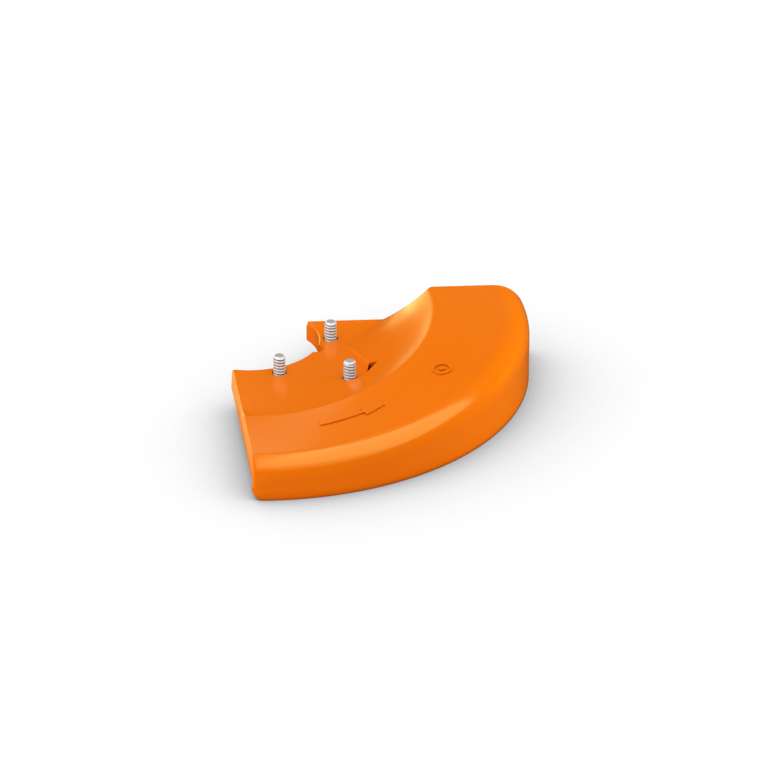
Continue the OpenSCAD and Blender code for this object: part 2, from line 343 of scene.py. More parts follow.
def hollow_section(shape, a, bottom):
    """Closed outline of the hollow, one skin thickness inside the solid."""
    inner = recess_from_rim(a, RECESS_R + SKIRT_T)
    edge = seat_edge_r(shape, a)
    top = ramp_z(shape, a)
    fr, cr = fillet_r(a), crease(a)
    in_r = fr - shape.wall_high_t
    fillet_low = top - fr * cos(cr)
    skin = shape.skin_t
    points = [(inner, bottom + 0 * a), (inner, shape.seat_z - skin + 0 * a)]
    for i in range(SCOOP_STEPS):
        t = i / SCOOP_STEPS
        s = np.degrees(np.arctan(scoop_grade(shape, a, t)))
        points.append((edge + t * (shape.ridge_r - edge) + skin * sin(s),
                       shape.seat_z + scoop_rise(t) * (top - shape.seat_z) - skin * cos(s)))
    slope = crest_reach(shape, a)[1]
    points.append((shape.ridge_r + skin * np.tan(np.radians(slope / 2)), top - skin))
    thicker = shape.wall_high_t - skin
    for i in range(FILLET_STEPS + 1):
        turn = cr + (90 - cr) * i / FILLET_STEPS
        points.append((shape.rim_r - fr + in_r * sin(turn),
                       fillet_low + in_r * cos(turn) + thicker * (1 - i / FILLET_STEPS)))
    points.append((shape.rim_r - shape.wall_high_t + 0 * a, bottom + 0 * a))
    r, z = zip(*points)
    return np.stack(r, -1), np.stack(z, -1)


def left_angle(shape, r, z, inside):
    """Angle at which a circle round the rim axis is so far inside the left end face."""
    off = np.array(RIM_FROM_GEARBOX)
    face = -LEFT_D - (shape.seat_z - z) * math.tan(math.radians(LEFT_DRAFT)) + inside
    along = off[0] * cos(LEFT_TURN) + off[1] * sin(LEFT_TURN)
    return LEFT_TURN - np.degrees(np.arccos(np.clip((face - along) / r, -1, 1)))


def rear_angle(r, inside):
    """Angle at which a circle round the rim axis is so far inside the rear end face."""
    return np.degrees(np.arcsin(np.clip((REAR_Y - inside - RIM_FROM_GEARBOX[1]) / r, -1, 1)))


def shrunk(r, z, by):
    """An outline moved inwards by a length, with its corners kept."""
    before = np.stack([r - np.roll(r, 1, -1), z - np.roll(z, 1, -1)], -1)
    after = np.roll(before, -1, -2)
    n1 = np.stack([before[..., 1], -before[..., 0]], -1)
    n2 = np.stack([after[..., 1], -after[..., 0]], -1)
    n1 /= np.linalg.norm(n1, axis=-1, keepdims=True)
    n2 /= np.linalg.norm(n2, axis=-1, keepdims=True)
    spread = 1 + (n1 * n2).sum(-1, keepdims=True)
    move = np.broadcast_to(by, r.shape)[..., None] * (n1 + n2) / np.maximum(spread, 0.3)
    return r + move[..., 0], z + move[..., 1]


def corner_lift(shape, inside):
    """Height of the wall's lower edge, so far inside an end face."""
    c = shape.corner_r
    reach = np.clip(c - inside, 0, c)
    return c - np.sqrt(c * c - reach * reach)


def column_at(shape, section, angle_of, inside, by, bottom, start):
    """One column of points that stands so far inside an end face, as angle, radius and height."""
    a = start
    for _ in range(8):
        r, z = section(shape, a, bottom)
        r, z = shrunk(r, z, by)
        r, z = np.diagonal(r), np.diagonal(z)
        a = angle_of(r, z, inside)
    return a, r, z


def columns(shape, section, insides, bottom_at, count, sharp=0):
    """Columns of points from the left end face to the rear one.

    insides lists the distance from the end face and the inward shrink of each end column.
    The first points, as many as sharp says, keep their place at the rear end, and the
    wall's narrow foot shrinks less than the rest.
    """
    m = section(shape, np.array([0.0]), bottom_at(0))[0].shape[1]

    def left(r, z, inside):
        return left_angle(shape, r, z, inside)

    def rear(r, z, inside):
        return rear_angle(r, inside)

    gentle = np.ones(m)
    gentle[-17:-11] = 0.35
    kept = np.where(np.arange(m) < sharp, 0.0, gentle)
    starts = [column_at(shape, section, left, s, by * gentle, bottom_at(s), np.full(m, -95.0))
              for s, by in insides]
    ends = [column_at(shape, section, rear, s, by * kept, bottom_at(s), np.full(m, 10.0))
            for s, by in insides]
    middle = []
    for i in range(1, count):
        a = starts[-1][0] + (ends[-1][0] - starts[-1][0]) * i / count
        r, z = section(shape, a, bottom_at(insides[-1][0]))
        middle.append((a, np.diagonal(r), np.diagonal(z)))
    return starts + middle + ends[::-1]


# Mesh helpers

def new_object(name, verts, faces):
    mesh = bpy.data.meshes.new(name)
    mesh.from_pydata([tuple(v) for v in verts], [], faces)
    mesh.update()
    obj = bpy.data.objects.new(name, mesh)
    bpy.context.scene.collection.objects.link(obj)
    return obj


def point_outwards(obj):
    bm = bmesh.new()
    bm.from_mesh(obj.data)
    bmesh.ops.remove_doubles(bm, verts=bm.verts, dist=1e-7)
    bmesh.ops.triangulate(bm, faces=[face for face in bm.faces if len(face.verts) > 4])
    bmesh.ops.recalc_face_normals(bm, faces=bm.faces)
    bm.to_mesh(obj.data)
    bm.free()
    return obj


def lofted(name, rows):
    """Closed solid over rows of points, with a flat cap on the first and the last row."""
    n, m = len(rows), len(rows[0])
    verts = [p for row in rows for p in row]
    faces = [(i * m + j, i * m + (j + 1) % m, (i + 1) * m + (j + 1) % m, (i + 1) * m + j)
             for i in range(n - 1) for j in range(m)]
    faces.append(tuple(range(m))[::-1])
    faces.append(tuple(range((n - 1) * m, n * m)))
    return point_outwards(new_object(name, verts, faces))


def polar_rows(cols):
    """Rows of points in the row frame from columns of angle, radius and height."""
    ox, oy = rim_axis()
    return [[(ox + r * cos(a), oy + r * sin(a), z) for a, r, z in zip(*c)] for c in cols]


def prism(name, outline, low, high):
    """Upright prism over a plan outline, measured from the gearbox axis."""
    gx, gy = gearbox_axis()
    rows = [[(gx + x, gy + y, z) for x, y in outline] for z in (low, high)]
    return lofted(name, rows)


def turned(name, place, outline, steps=64):
    """Solid of revolution round an upright axis, from an outline of radius and height."""
    gx, gy = gearbox_axis()
    rows = []
    for r, z in outline:
        rows.append([(gx + place[0] + r * cos(360 * k / steps),
                      gy + place[1] + r * sin(360 * k / steps), z) for k in range(steps)])
    return lofted(name, rows)


def combine(obj, tool, operation="DIFFERENCE"):
    """Applies a boolean with a tool, and removes the tool."""
    mod = obj.modifiers.new("combine", "BOOLEAN")
    mod.operation = operation
    mod.solver = "MANIFOLD"
    mod.object = tool
    graph = bpy.context.evaluated_depsgraph_get()
    mesh = bpy.data.meshes.new_from_object(obj.evaluated_get(graph))
    obj.modifiers.remove(mod)
    old = obj.data
    obj.data = mesh
    bpy.data.meshes.remove(old)
    bpy.data.objects.remove(tool)
    return obj


def shade(obj, angle):
    """Smooth shading, with edges past an angle kept sharp."""
    bm = bmesh.new()
    bm.from_mesh(obj.data)
    for face in bm.faces:
        face.smooth = True
    limit = math.radians(angle)
    for edge in bm.edges:
        edge.smooth = len(edge.link_faces) == 2 and edge.calc_face_angle(0) < limit
    bm.to_mesh(obj.data)
    bm.free()


# Pieces of the moulded form

def touch(outside, r, side):
    """Point where a line from outside touches a circle round the front screw."""
    centre = screw_places()[1]
    way = np.array(outside) - centre
    turn = math.atan2(way[1], way[0]) + side * math.acos(r / np.linalg.norm(way))
    return centre + r * np.array([math.cos(turn), math.sin(turn)])


def pocket_plan(grow=0.0):
    """Plan of the pocket round the front screw."""
    r = POCKET_R + grow
    centre = screw_places()[1]
    far = np.array(SLOT_END) + grow
    first, last = touch(POCKET_LEFT, r, 1) - centre, touch(far, r, -1) - centre
    start = math.degrees(math.atan2(first[1], first[0]))
    turn = (math.degrees(math.atan2(last[1], last[0])) - start) % 360
    arc = [centre + r * np.array([cos(start + turn * k / 16), sin(start + turn * k / 16)])
           for k in range(17)]
    return [np.array(POCKET_LEFT)] + arc + [far, np.array(POCKET_CORNER) + grow,
                                            np.array(POCKET_APEX)]


def screw_places():
    """Plan places of the screws, from the gearbox axis."""
    places = []
    for node in SCREW_NODES:
        low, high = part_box(node)
        places.append(np.array([(low.x + high.x) / 2, (low.y + high.y) / 2]) - gearbox_axis())
    return places


def surface_z(shape, x, y):
    """Height of the top over a plan place, measured from the gearbox axis."""
    dx, dy = x - RIM_FROM_GEARBOX[0], y - RIM_FROM_GEARBOX[1]
    a = np.degrees(np.arctan2(dy, dx))
    r = np.hypot(dx, dy)
    edge = seat_edge_r(shape, a)
    t = np.clip((r - edge) / (shape.ridge_r - edge), 0, 1)
    return shape.seat_z + scoop_rise(t) * (ramp_z(shape, a) - shape.seat_z) \
        if r > edge else shape.seat_z


def leaning_slab(shape):
    """What stays of the pocket's right side: the wall that leans away from the pocket."""
    gx, gy = gearbox_axis()
    foot, apex = np.array(WALL_FOOT), np.array(POCKET_APEX)
    run = (foot - apex) / np.linalg.norm(foot - apex)
    side = np.array([-run[1], run[0]])
    lean = math.tan(math.radians(WALL_LEAN))
    low, high, out = -0.008, 0.030, 0.026
    rows = []
    for along in (apex - run * 0.010, foot):
        row = []
        for across, z in ((low * lean, low), (out, low), (out + 0.02, high), (high * lean, high)):
            p = along + side * across
            row.append((gx + p[0], gy + p[1], shape.seat_z + z))
        rows.append(row)
    return lofted("leaning_slab", rows)


def rounding_tool(shape, name, line, radius):
    """Swept tool that rounds the edge where a wall meets the top.

    line lists the top point, the direction away from the pocket and the wall's lean.
    """
    gx, gy = gearbox_axis()
    rows = []
    for (x, y), (nx, ny), lean in line:
        top = surface_z(shape, x, y)
        r = min(radius, 0.45 * max(top - shape.seat_z, 0.1 * MM))
        down = np.array([-math.sin(math.radians(lean)), -math.cos(math.radians(lean))]) * r
        out = np.array([r, surface_z(shape, x + nx * r, y + ny * r) - top])
        row = []
        for k in range(6):
            t = k / 5
            row.append((1 - t) ** 2 * down + t * t * out)
        row.append(out + np.array([0.05 * MM, 0.6 * MM]))
        row.append(down + np.array([-0.5 * MM, 1.2 * MM]))
        row.append(down + np.array([-0.5 * MM, 0.0]))
        rows.append([(gx + x + nx * u, gy + y + ny * u, top + v) for u, v in row])
    return lofted(name, rows)


def pocket_tool(shape):
    """The pocket, its leaning wall and the small slot past that wall."""
    tool = prism("pocket", pocket_plan(), shape.seat_z, shape.seat_z + 0.03)
    combine(tool, leaning_slab(shape))
    slot = [WALL_FOOT, SLOT_NEAR, SLOT_END, POCKET_CORNER]
    combine(tool, prism("slot", slot, shape.skirt_z, shape.seat_z + 0.02), "UNION")
    return tool


def wall_top_line(shape):
    """Top edge of the leaning wall, as top point, direction and lean."""
    foot, apex = np.array(WALL_FOOT), np.array(POCKET_APEX)
    run = (foot - apex) / np.linalg.norm(foot - apex)
    side = np.array([-run[1], run[0]])
    lean = math.tan(math.radians(WALL_LEAN))
    line = []
    length = np.linalg.norm(foot - apex)
    for k in range(40):
        base = apex + run * length * (0.04 + 0.96 * k / 39)
        across = 0.0
        for _ in range(30):
            p = base + side * across
            across = (surface_z(shape, *p) - shape.seat_z) * lean
        line.append((base + side * across, side, WALL_LEAN))
    return line


def ribs(shape):
    """Radial ribs, placed round the rim axis by a node tree."""
    tree = bpy.data.node_groups.new("ribs_round_axis", "GeometryNodeTree")
    face = tree.interface
    for label, kind in (("Geometry", "NodeSocketGeometry"), ("Count", "NodeSocketInt"),
                        ("First Angle", "NodeSocketFloat"), ("Step Angle", "NodeSocketFloat"),
                        ("Size", "NodeSocketVector"), ("Middle", "NodeSocketVector"),
                        ("Material", "NodeSocketMaterial")):
        face.new_socket(label, in_out="INPUT", socket_type=kind)
    face.new_socket("Geometry", in_out="OUTPUT", socket_type="NodeSocketGeometry")
    nodes, links = tree.nodes, tree.links
    given = nodes.new("NodeGroupInput")
    made = nodes.new("NodeGroupOutput")
    line = nodes.new("GeometryNodeMeshLine")
    links.new(given.outputs["Count"], line.inputs["Count"])
    line.inputs["Offset"].default_value = (0, 0, 0)
    bar = nodes.new("GeometryNodeMeshCube")
    links.new(given.outputs["Size"], bar.inputs["Size"])
    move = nodes.new("GeometryNodeTransform")
    links.new(bar.outputs["Mesh"], move.inputs["Geometry"])
    links.new(given.outputs["Middle"], move.inputs["Translation"])
    index = nodes.new("GeometryNodeInputIndex")
    turn = nodes.new("ShaderNodeMath")
    turn.operation = "MULTIPLY_ADD"
    links.new(index.outputs[0], turn.inputs[0])
    links.new(given.outputs["Step Angle"], turn.inputs[1])
    links.new(given.outputs["First Angle"], turn.inputs[2])
    spin = nodes.new("ShaderNodeCombineXYZ")
    links.new(turn.outputs[0], spin.inputs["Z"])
    put = nodes.new("GeometryNodeInstanceOnPoints")
    links.new(line.outputs["Mesh"], put.inputs["Points"])
    links.new(move.outputs["Geometry"], put.inputs["Instance"])
    links.new(spin.outputs[0], put.inputs["Rotation"])
    real = nodes.new("GeometryNodeRealizeInstances")
    links.new(put.outputs[0], real.inputs[0])
    paint = nodes.new("GeometryNodeSetMaterial")
    links.new(real.outputs[0], paint.inputs["Geometry"])
    links.new(given.outputs["Material"], paint.inputs["Material"])
    links.new(paint.outputs[0], made.inputs[0])

    inner, outer = shape.ridge_r - 1 * MM, shape.rim_r - 2 * MM
    low, high = shape.skirt_z - 2 * MM, shape.skirt_z + 0.035
    obj = new_object("ribs", [(0, 0, 0)], [])
    values = {
        "Count": shape.rib_count,
        "First Angle": math.radians(RIB_FIRST),
        "Step Angle": math.radians((RIB_LAST - RIB_FIRST) / (shape.rib_count - 1)),
        "Size": (outer - inner, RIB_T, high - low),
        "Middle": ((outer + inner) / 2, 0, (low + high) / 2),
        "Material": plastic_material(),
    }
    run_tree(obj, tree, values)
    ox, oy = rim_axis()
    for v in obj.data.vertices:
        v.co.x += ox
        v.co.y += oy
    return obj


def run_tree(obj, tree, values):
    """Runs a node tree on an object and keeps the result as its plain mesh."""
    mod = obj.modifiers.new(tree.name, "NODES")
    mod.node_group = tree
    for item in tree.interface.items_tree:
        if item.item_type == "SOCKET" and item.in_out == "INPUT" and item.name in values:
            mod[item.identifier] = values[item.name]
    graph = bpy.context.evaluated_depsgraph_get()
    mesh = bpy.data.meshes.new_from_object(obj.evaluated_get(graph))
    obj.modifiers.remove(mod)
    old = obj.data
    obj.data = mesh
    bpy.data.meshes.remove(old)
    return obj


def ring_rib(shape):
    low, high = shape.skirt_z - 2 * MM, shape.skirt_z + 0.035
    inner, outer = shape.ridge_r - RIB_T / 2, shape.ridge_r + RIB_T / 2
    ox, oy = rim_axis()
    rows = []
    steps = 120
    for k in range(steps + 1):
        a = -125 + 175 * k / steps
        rows.append([(ox + r * cos(a), oy + r * sin(a), z)
                     for r, z in ((inner, low), (outer, low), (outer, high), (inner, high))])
    return lofted("ring_rib", rows)


def hollow_tool(shape):
    """The hollow above the skirt's edge, with the ribs and bosses left standing."""
    low = shape.skirt_z - 1 * MM
    cols = columns(shape, hollow_section, [(SKIRT_T, 0.0)], lambda s: low, 120)
    tool = lofted("hollow", polar_rows(cols))
    combine(tool, ribs(shape))
    combine(tool, ring_rib(shape))
    for place in screw_places():
        combine(tool, turned("boss", place, [(BOSS_R, low - MM), (BOSS_R, shape.seat_z)]))
    under = pocket_plan(POCKET_WALL_T)
    combine(tool, prism("pocket_box", under, shape.seat_z - shape.skin_t, shape.seat_z + 0.03))
    return tool


def notch_plan():
    x, y = NOTCH_PLACE
    arc = [(x + NOTCH_R * cos(t), y + NOTCH_R * sin(t)) for t in range(-90, 91, 10)]
    return arc + [(x - 2 * NOTCH_R, y + NOTCH_R), (x - 2 * NOTCH_R, y - NOTCH_R)]


def raised_strip(shape, name, steps):
    """Raised mark that follows the ramp, from angles with an inner and an outer radius."""
    ox, oy = rim_axis()
    rows = []
    for a, low_r, high_r in steps:
        top = float(ramp_z(shape, a))
        rows.append([(ox + r * cos(a), oy + r * sin(a), z) for r, z in (
            (low_r, top - 1 * MM), (high_r, top - 1 * MM),
            (high_r, top + shape.mark_h), (low_r, top + shape.mark_h))])
    return lofted(name, rows)


ARROW_R, ARROW_HALF_W = 100.9 * MM, 1.2 * MM
ARROW_TAIL, ARROW_NECK, ARROW_TIP = -76.9, -64.3, -57.9
ARROW_BACK_R, ARROW_TIP_R = (97.7 * MM, 104.6 * MM), 102.6 * MM


def arrow(shape):
    """Raised arrow that shows which way the blade turns."""
    shaft = [(ARROW_TAIL + (ARROW_NECK + 0.2 - ARROW_TAIL) * k / 20,
              ARROW_R - ARROW_HALF_W, ARROW_R + ARROW_HALF_W) for k in range(21)]
    head = []
    for k in range(11):
        t = 0.985 * k / 10
        head.append((ARROW_NECK + (ARROW_TIP - ARROW_NECK) * t,
                     ARROW_BACK_R[0] + (ARROW_TIP_R - ARROW_BACK_R[0]) * t,
                     ARROW_BACK_R[1] + (ARROW_TIP_R - ARROW_BACK_R[1]) * t))
    obj = raised_strip(shape, "arrow", shaft)
    return combine(obj, raised_strip(shape, "arrow_head", head), "UNION")


MARK_PLACE, MARK_RING_R, MARK_DOT_R = (103.6 * MM, -36.3), (3.6 * MM, 4.8 * MM), 1.3 * MM


def ring_mark(shape):
    """Plain raised ring with a dot, beside the ramp's top."""
    ox, oy = rim_axis()
    cx, cy = ox + MARK_PLACE[0] * cos(MARK_PLACE[1]), oy + MARK_PLACE[0] * sin(MARK_PLACE[1])
    steps = 64

    def point(r, turn, lift):
        x, y = cx + r * cos(turn), cy + r * sin(turn)
        a = math.degrees(math.atan2(y - oy, x - ox))
        return (x, y, float(ramp_z(shape, a)) + lift)

    verts, faces = [], []
    for k in range(steps):
        turn = 360 * k / steps
        for r, lift in ((MARK_RING_R[0], -MM), (MARK_RING_R[1], -MM),
                        (MARK_RING_R[1], shape.mark_h), (MARK_RING_R[0], shape.mark_h)):
            verts.append(point(r, turn, lift))
    for k in range(steps):
        n = (k + 1) % steps
        for j in range(4):
            faces.append((4 * k + j, 4 * k + (j + 1) % 4, 4 * n + (j + 1) % 4, 4 * n + j))
    ring = point_outwards(new_object("ring_mark", verts, faces))
    dot_rows = [[point(MARK_DOT_R, 360 * k / 24, lift) for k in range(24)]
                for lift in (-MM, shape.mark_h)]
    return combine(ring, lofted("dot", dot_rows), "UNION")


def guard_mesh(shape):
    """The whole moulded guard."""
    e = shape.edge_r
    turns = [90 * (1 - k / ROUND_STEPS) for k in range(ROUND_STEPS + 1)]
    insides = [(e * (1 - sin(t)), e * (1 - cos(t))) for t in turns]
    insides = [(float(s), float(by)) for s, by in insides]
    insides += [(s * MM, 0.0) for s in (1.6, 2.2, 3.0, 3.9, 4.9, 6.0, 7.5)]

    def bottom_at(s):
        return float(corner_lift(shape, s))

    cols = columns(shape, outer_section, insides, bottom_at, COLUMNS, RECESS_STEPS)
    guard = lofted("guard", polar_rows(cols))
    combine(guard, arrow(shape), "UNION")
    combine(guard, ring_mark(shape), "UNION")
    combine(guard, hollow_tool(shape))
    combine(guard, pocket_tool(shape))
    combine(guard, rounding_tool(shape, "wall_rounding", wall_top_line(shape), 1.0 * MM))
    combine(guard, prism("notch", notch_plan(), -MM, shape.seat_z + MM))
    for place in screw_places():
        outline = [(HOLE_R, -MM), (HOLE_R, shape.seat_z - HOLE_FLARE),
                   (HOLE_R + 2 * HOLE_FLARE, shape.seat_z + HOLE_FLARE)]
        combine(guard, turned("hole", place, outline))
    return guard


# Screw

def thread_rows(shape, screw):
    """Rings of the screw from the thread's tip down to the head, before it is placed."""
    tip_z = SCREW_HIGH.z
    low_z = shape.seat_z - 3 * MM
    around = 56
    tip_r, chamfer_h = 2.1 * MM, 0.95 * MM
    rows = []
    count = int((tip_z - low_z) / screw.pitch * 14)
    for i in range(count + 1):
        z = tip_z - (tip_z - low_z) * i / count
        row = []
        for k in range(around):
            phase = ((tip_z - z) / screw.pitch - k / around) % 1
            wave = abs(2 * phase - 1)
            cut = float(np.clip(1.35 * wave - 0.25, 0, 1))
            r = screw.thread_r - screw.thread_depth * smooth(cut)
            limit = tip_r + (screw.thread_r - tip_r) * min(1, (tip_z - z) / chamfer_h)
            r = min(r, limit)
            row.append((r * cos(360 * k / around), r * sin(360 * k / around), z))
        rows.append(row)
    return rows, around


def screw_mesh(shape, screw):
    """One screw on the Z axis, with its thread, shank, domed head and six-lobed drive."""
    rows, around = thread_rows(shape, screw)
    shank_r = screw.thread_r - screw.thread_depth
    head_z = shape.skirt_z
    outline = [(shank_r, rows[-1][0][2] - 0.2 * MM), (shank_r, head_z),
               (screw.head_r - 0.2 * MM, head_z), (screw.head_r, head_z - 0.2 * MM),
               (screw.head_r, head_z - 1.2 * MM)]
    dome = screw.head_h - 1.2 * MM
    for k in range(1, 9):
        turn = 90 * k / 8.6
        outline.append((screw.head_r * cos(turn), head_z - 1.2 * MM - dome * sin(turn)))
    for r, z in outline:
        rows.append([(r * cos(360 * k / around), r * sin(360 * k / around), z)
                     for k in range(around)])
    obj = lofted("screw_pattern", rows)
    drive = []
    for k in range(72):
        r = 2.15 * MM + 0.4 * MM * cos(6 * 360 * k / 72)
        drive.append((r * cos(360 * k / 72), r * sin(360 * k / 72)))
    low = head_z - screw.head_h
    tool = lofted("drive", [[(x, y, z) for x, y in drive] for z in (low - MM, low + 2 * MM)])
    combine(obj, tool)
    return mark_groove_shade(obj, screw, rows[-1][0][2])


def mark_groove_shade(obj, screw, low):
    """Write how deep each point of the thread lies, from 0 on a crest to 1 in a groove, which sets how
    much painted shade the zinc gets there; the flat end at the tip gets 0.75.
    """
    depths = []
    for vert in obj.data.vertices:
        x, y, z = vert.co
        r = math.hypot(x, y)
        deep = np.clip((screw.thread_r - r) / screw.thread_depth, 0, 1)
        tip = SCREW_HIGH.z - z < 0.05 * MM
        depths.append(0.75 if tip else float(deep) if low < z < SCREW_HIGH.z - MM else 0.0)
    marks = obj.data.attributes.new("groove", "FLOAT", "POINT")
    marks.data.foreach_set("value", depths)
    return obj


def screws_tree():
    """Node tree that puts the screw on each point, turned by a seeded random angle."""
    tree = bpy.data.node_groups.new("screws_on_points", "GeometryNodeTree")
    face = tree.interface
    for label, kind in (("Geometry", "NodeSocketGeometry"), ("Screw", "NodeSocketObject"),
                        ("Most Turn", "NodeSocketFloat"), ("Seed", "NodeSocketInt"),
                        ("Material", "NodeSocketMaterial")):
        face.new_socket(label, in_out="INPUT", socket_type=kind)
    face.new_socket("Geometry", in_out="OUTPUT", socket_type="NodeSocketGeometry")
    nodes, links = tree.nodes, tree.links
    given = nodes.new("NodeGroupInput")
    made = nodes.new("NodeGroupOutput")
    info = nodes.new("GeometryNodeObjectInfo")
    links.new(given.outputs["Screw"], info.inputs["Object"])
    rand = nodes.new("FunctionNodeRandomValue")
    rand.data_type = "FLOAT"
    links.new(given.outputs["Most Turn"], rand.inputs[3])
    links.new(given.outputs["Seed"], rand.inputs["Seed"])
    spin = nodes.new("ShaderNodeCombineXYZ")
    links.new(rand.outputs[1], spin.inputs["Z"])
    put = nodes.new("GeometryNodeInstanceOnPoints")
    links.new(given.outputs["Geometry"], put.inputs["Points"])
    links.new(info.outputs["Geometry"], put.inputs["Instance"])
    links.new(spin.outputs[0], put.inputs["Rotation"])
    real = nodes.new("GeometryNodeRealizeInstances")
    links.new(put.outputs[0], real.inputs[0])
    paint = nodes.new("GeometryNodeSetMaterial")
    links.new(real.outputs[0], paint.inputs["Geometry"])
    links.new(given.outputs["Material"], paint.inputs["Material"])
    links.new(paint.outputs[0], made.inputs[0])
    return tree


# Materials

def principled(name):
    mat = bpy.data.materials.new(name)
    mat.use_nodes = True
    tree = mat.node_tree
    return mat, tree, tree.nodes["Principled BSDF"]


def plastic_material():
    """Glossy moulded plastic: faint flow marks, a fine grain, and painted shade, a deeper red, in
    corners and slots.
    """
    if "moulded_plastic" in bpy.data.materials:
        return bpy.data.materials["moulded_plastic"]
    finish = bpy.context.scene.guard_finish
    mat, tree, shader = principled("moulded_plastic")
    nodes, links = tree.nodes, tree.links
    where = nodes.new("ShaderNodeTexCoord")
    flow = nodes.new("ShaderNodeTexNoise")
    flow.inputs["Scale"].default_value = 18
    flow.inputs["Detail"].default_value = 2
    links.new(where.outputs["Object"], flow.inputs["Vector"])
    tint = nodes.new("ShaderNodeMapRange")
    tint.inputs["To Min"].default_value = 0.97
    tint.inputs["To Max"].default_value = 1.03
    links.new(flow.outputs["Fac"], tint.inputs["Value"])
    # Painted shade: where ambient occlusion within 10 mm is low, in corners, slots and the notch, the
    # base colour turns towards the dark red crevice shade.
    occlusion_shade = nodes.new("ShaderNodeAmbientOcclusion")
    occlusion_shade.samples = 8
    occlusion_shade.inputs["Distance"].default_value = 10 * MM
    depth = nodes.new("ShaderNodeMapRange")
    depth.interpolation_type = "SMOOTHSTEP"
    depth.inputs["From Min"].default_value = 0.2
    depth.inputs["From Max"].default_value = 0.68
    links.new(occlusion_shade.outputs["AO"], depth.inputs["Value"])
    crevice_shade = nodes.new("ShaderNodeMix")
    crevice_shade.data_type = "RGBA"
    links.new(depth.outputs["Result"], crevice_shade.inputs["Factor"])
    crevice_shade.inputs[6].default_value = (*finish.crevice_shade, 1)
    crevice_shade.inputs[7].default_value = (*finish.plastic, 1)
    colour = nodes.new("ShaderNodeVectorMath")
    colour.operation = "SCALE"
    links.new(crevice_shade.outputs[2], colour.inputs[0])
    links.new(tint.outputs["Result"], colour.inputs["Scale"])
    links.new(colour.outputs["Vector"], shader.inputs["Base Color"])
    rough = nodes.new("ShaderNodeMapRange")
    rough.inputs["To Min"].default_value = finish.plastic_rough - 0.02
    rough.inputs["To Max"].default_value = finish.plastic_rough + 0.03
    links.new(flow.outputs["Fac"], rough.inputs["Value"])
    links.new(rough.outputs["Result"], shader.inputs["Roughness"])
    grain = nodes.new("ShaderNodeTexNoise")
    grain.inputs["Scale"].default_value = 2600
    grain.inputs["Detail"].default_value = 1
    links.new(where.outputs["Object"], grain.inputs["Vector"])
    bump = nodes.new("ShaderNodeBump")
    bump.inputs["Strength"].default_value = 0.06
    bump.inputs["Distance"].default_value = 0.05 * MM
    links.new(grain.outputs["Fac"], bump.inputs["Height"])
    links.new(bump.outputs["Normal"], shader.inputs["Normal"])
    shader.inputs["IOR"].default_value = 1.5
    shader.inputs["Specular Tint"].default_value = (1, 0.85, 0.35, 1)
    return mat


def zinc_material():
    """Bright zinc plate with a fine drawn grain, painted shade in the thread grooves and a darker flat
    end at the tip.
    """
    finish = bpy.context.scene.guard_finish
    mat, tree, shader = principled("zinc_plate")
    nodes, links = tree.nodes, tree.links
    where = nodes.new("ShaderNodeTexCoord")
    cloud = nodes.new("ShaderNodeTexNoise")
    cloud.inputs["Scale"].default_value = 700
    links.new(where.outputs["Object"], cloud.inputs["Vector"])
    tint = nodes.new("ShaderNodeMapRange")
    tint.inputs["To Min"].default_value = 0.94
    tint.inputs["To Max"].default_value = 1.05
    links.new(cloud.outputs["Fac"], tint.inputs["Value"])
    # Painted shade: the groove attribute mixes the zinc towards dark grey down in the thread; the flat
    # end at the tip is mixed 0.75 of the way.
    groove = nodes.new("ShaderNodeAttribute")
    groove.attribute_name = "groove"
    tone = nodes.new("ShaderNodeMix")
    tone.data_type = "RGBA"
    links.new(groove.outputs["Fac"], tone.inputs["Factor"])
    tone.inputs[6].default_value = (*finish.zinc, 1)
    tone.inputs[7].default_value = (*finish.groove, 1)
    colour = nodes.new("ShaderNodeVectorMath")
    colour.operation = "SCALE"
    links.new(tone.outputs[2], colour.inputs[0])
    links.new(tint.outputs["Result"], colour.inputs["Scale"])
    links.new(colour.outputs["Vector"], shader.inputs["Base Color"])
    rough = nodes.new("ShaderNodeMapRange")
    rough.inputs["To Min"].default_value = 0.26
    rough.inputs["To Max"].default_value = 0.40
    links.new(cloud.outputs["Fac"], rough.inputs["Value"])
    links.new(rough.outputs["Result"], shader.inputs["Roughness"])
    shader.inputs["Metallic"].default_value = 0.3
    return mat


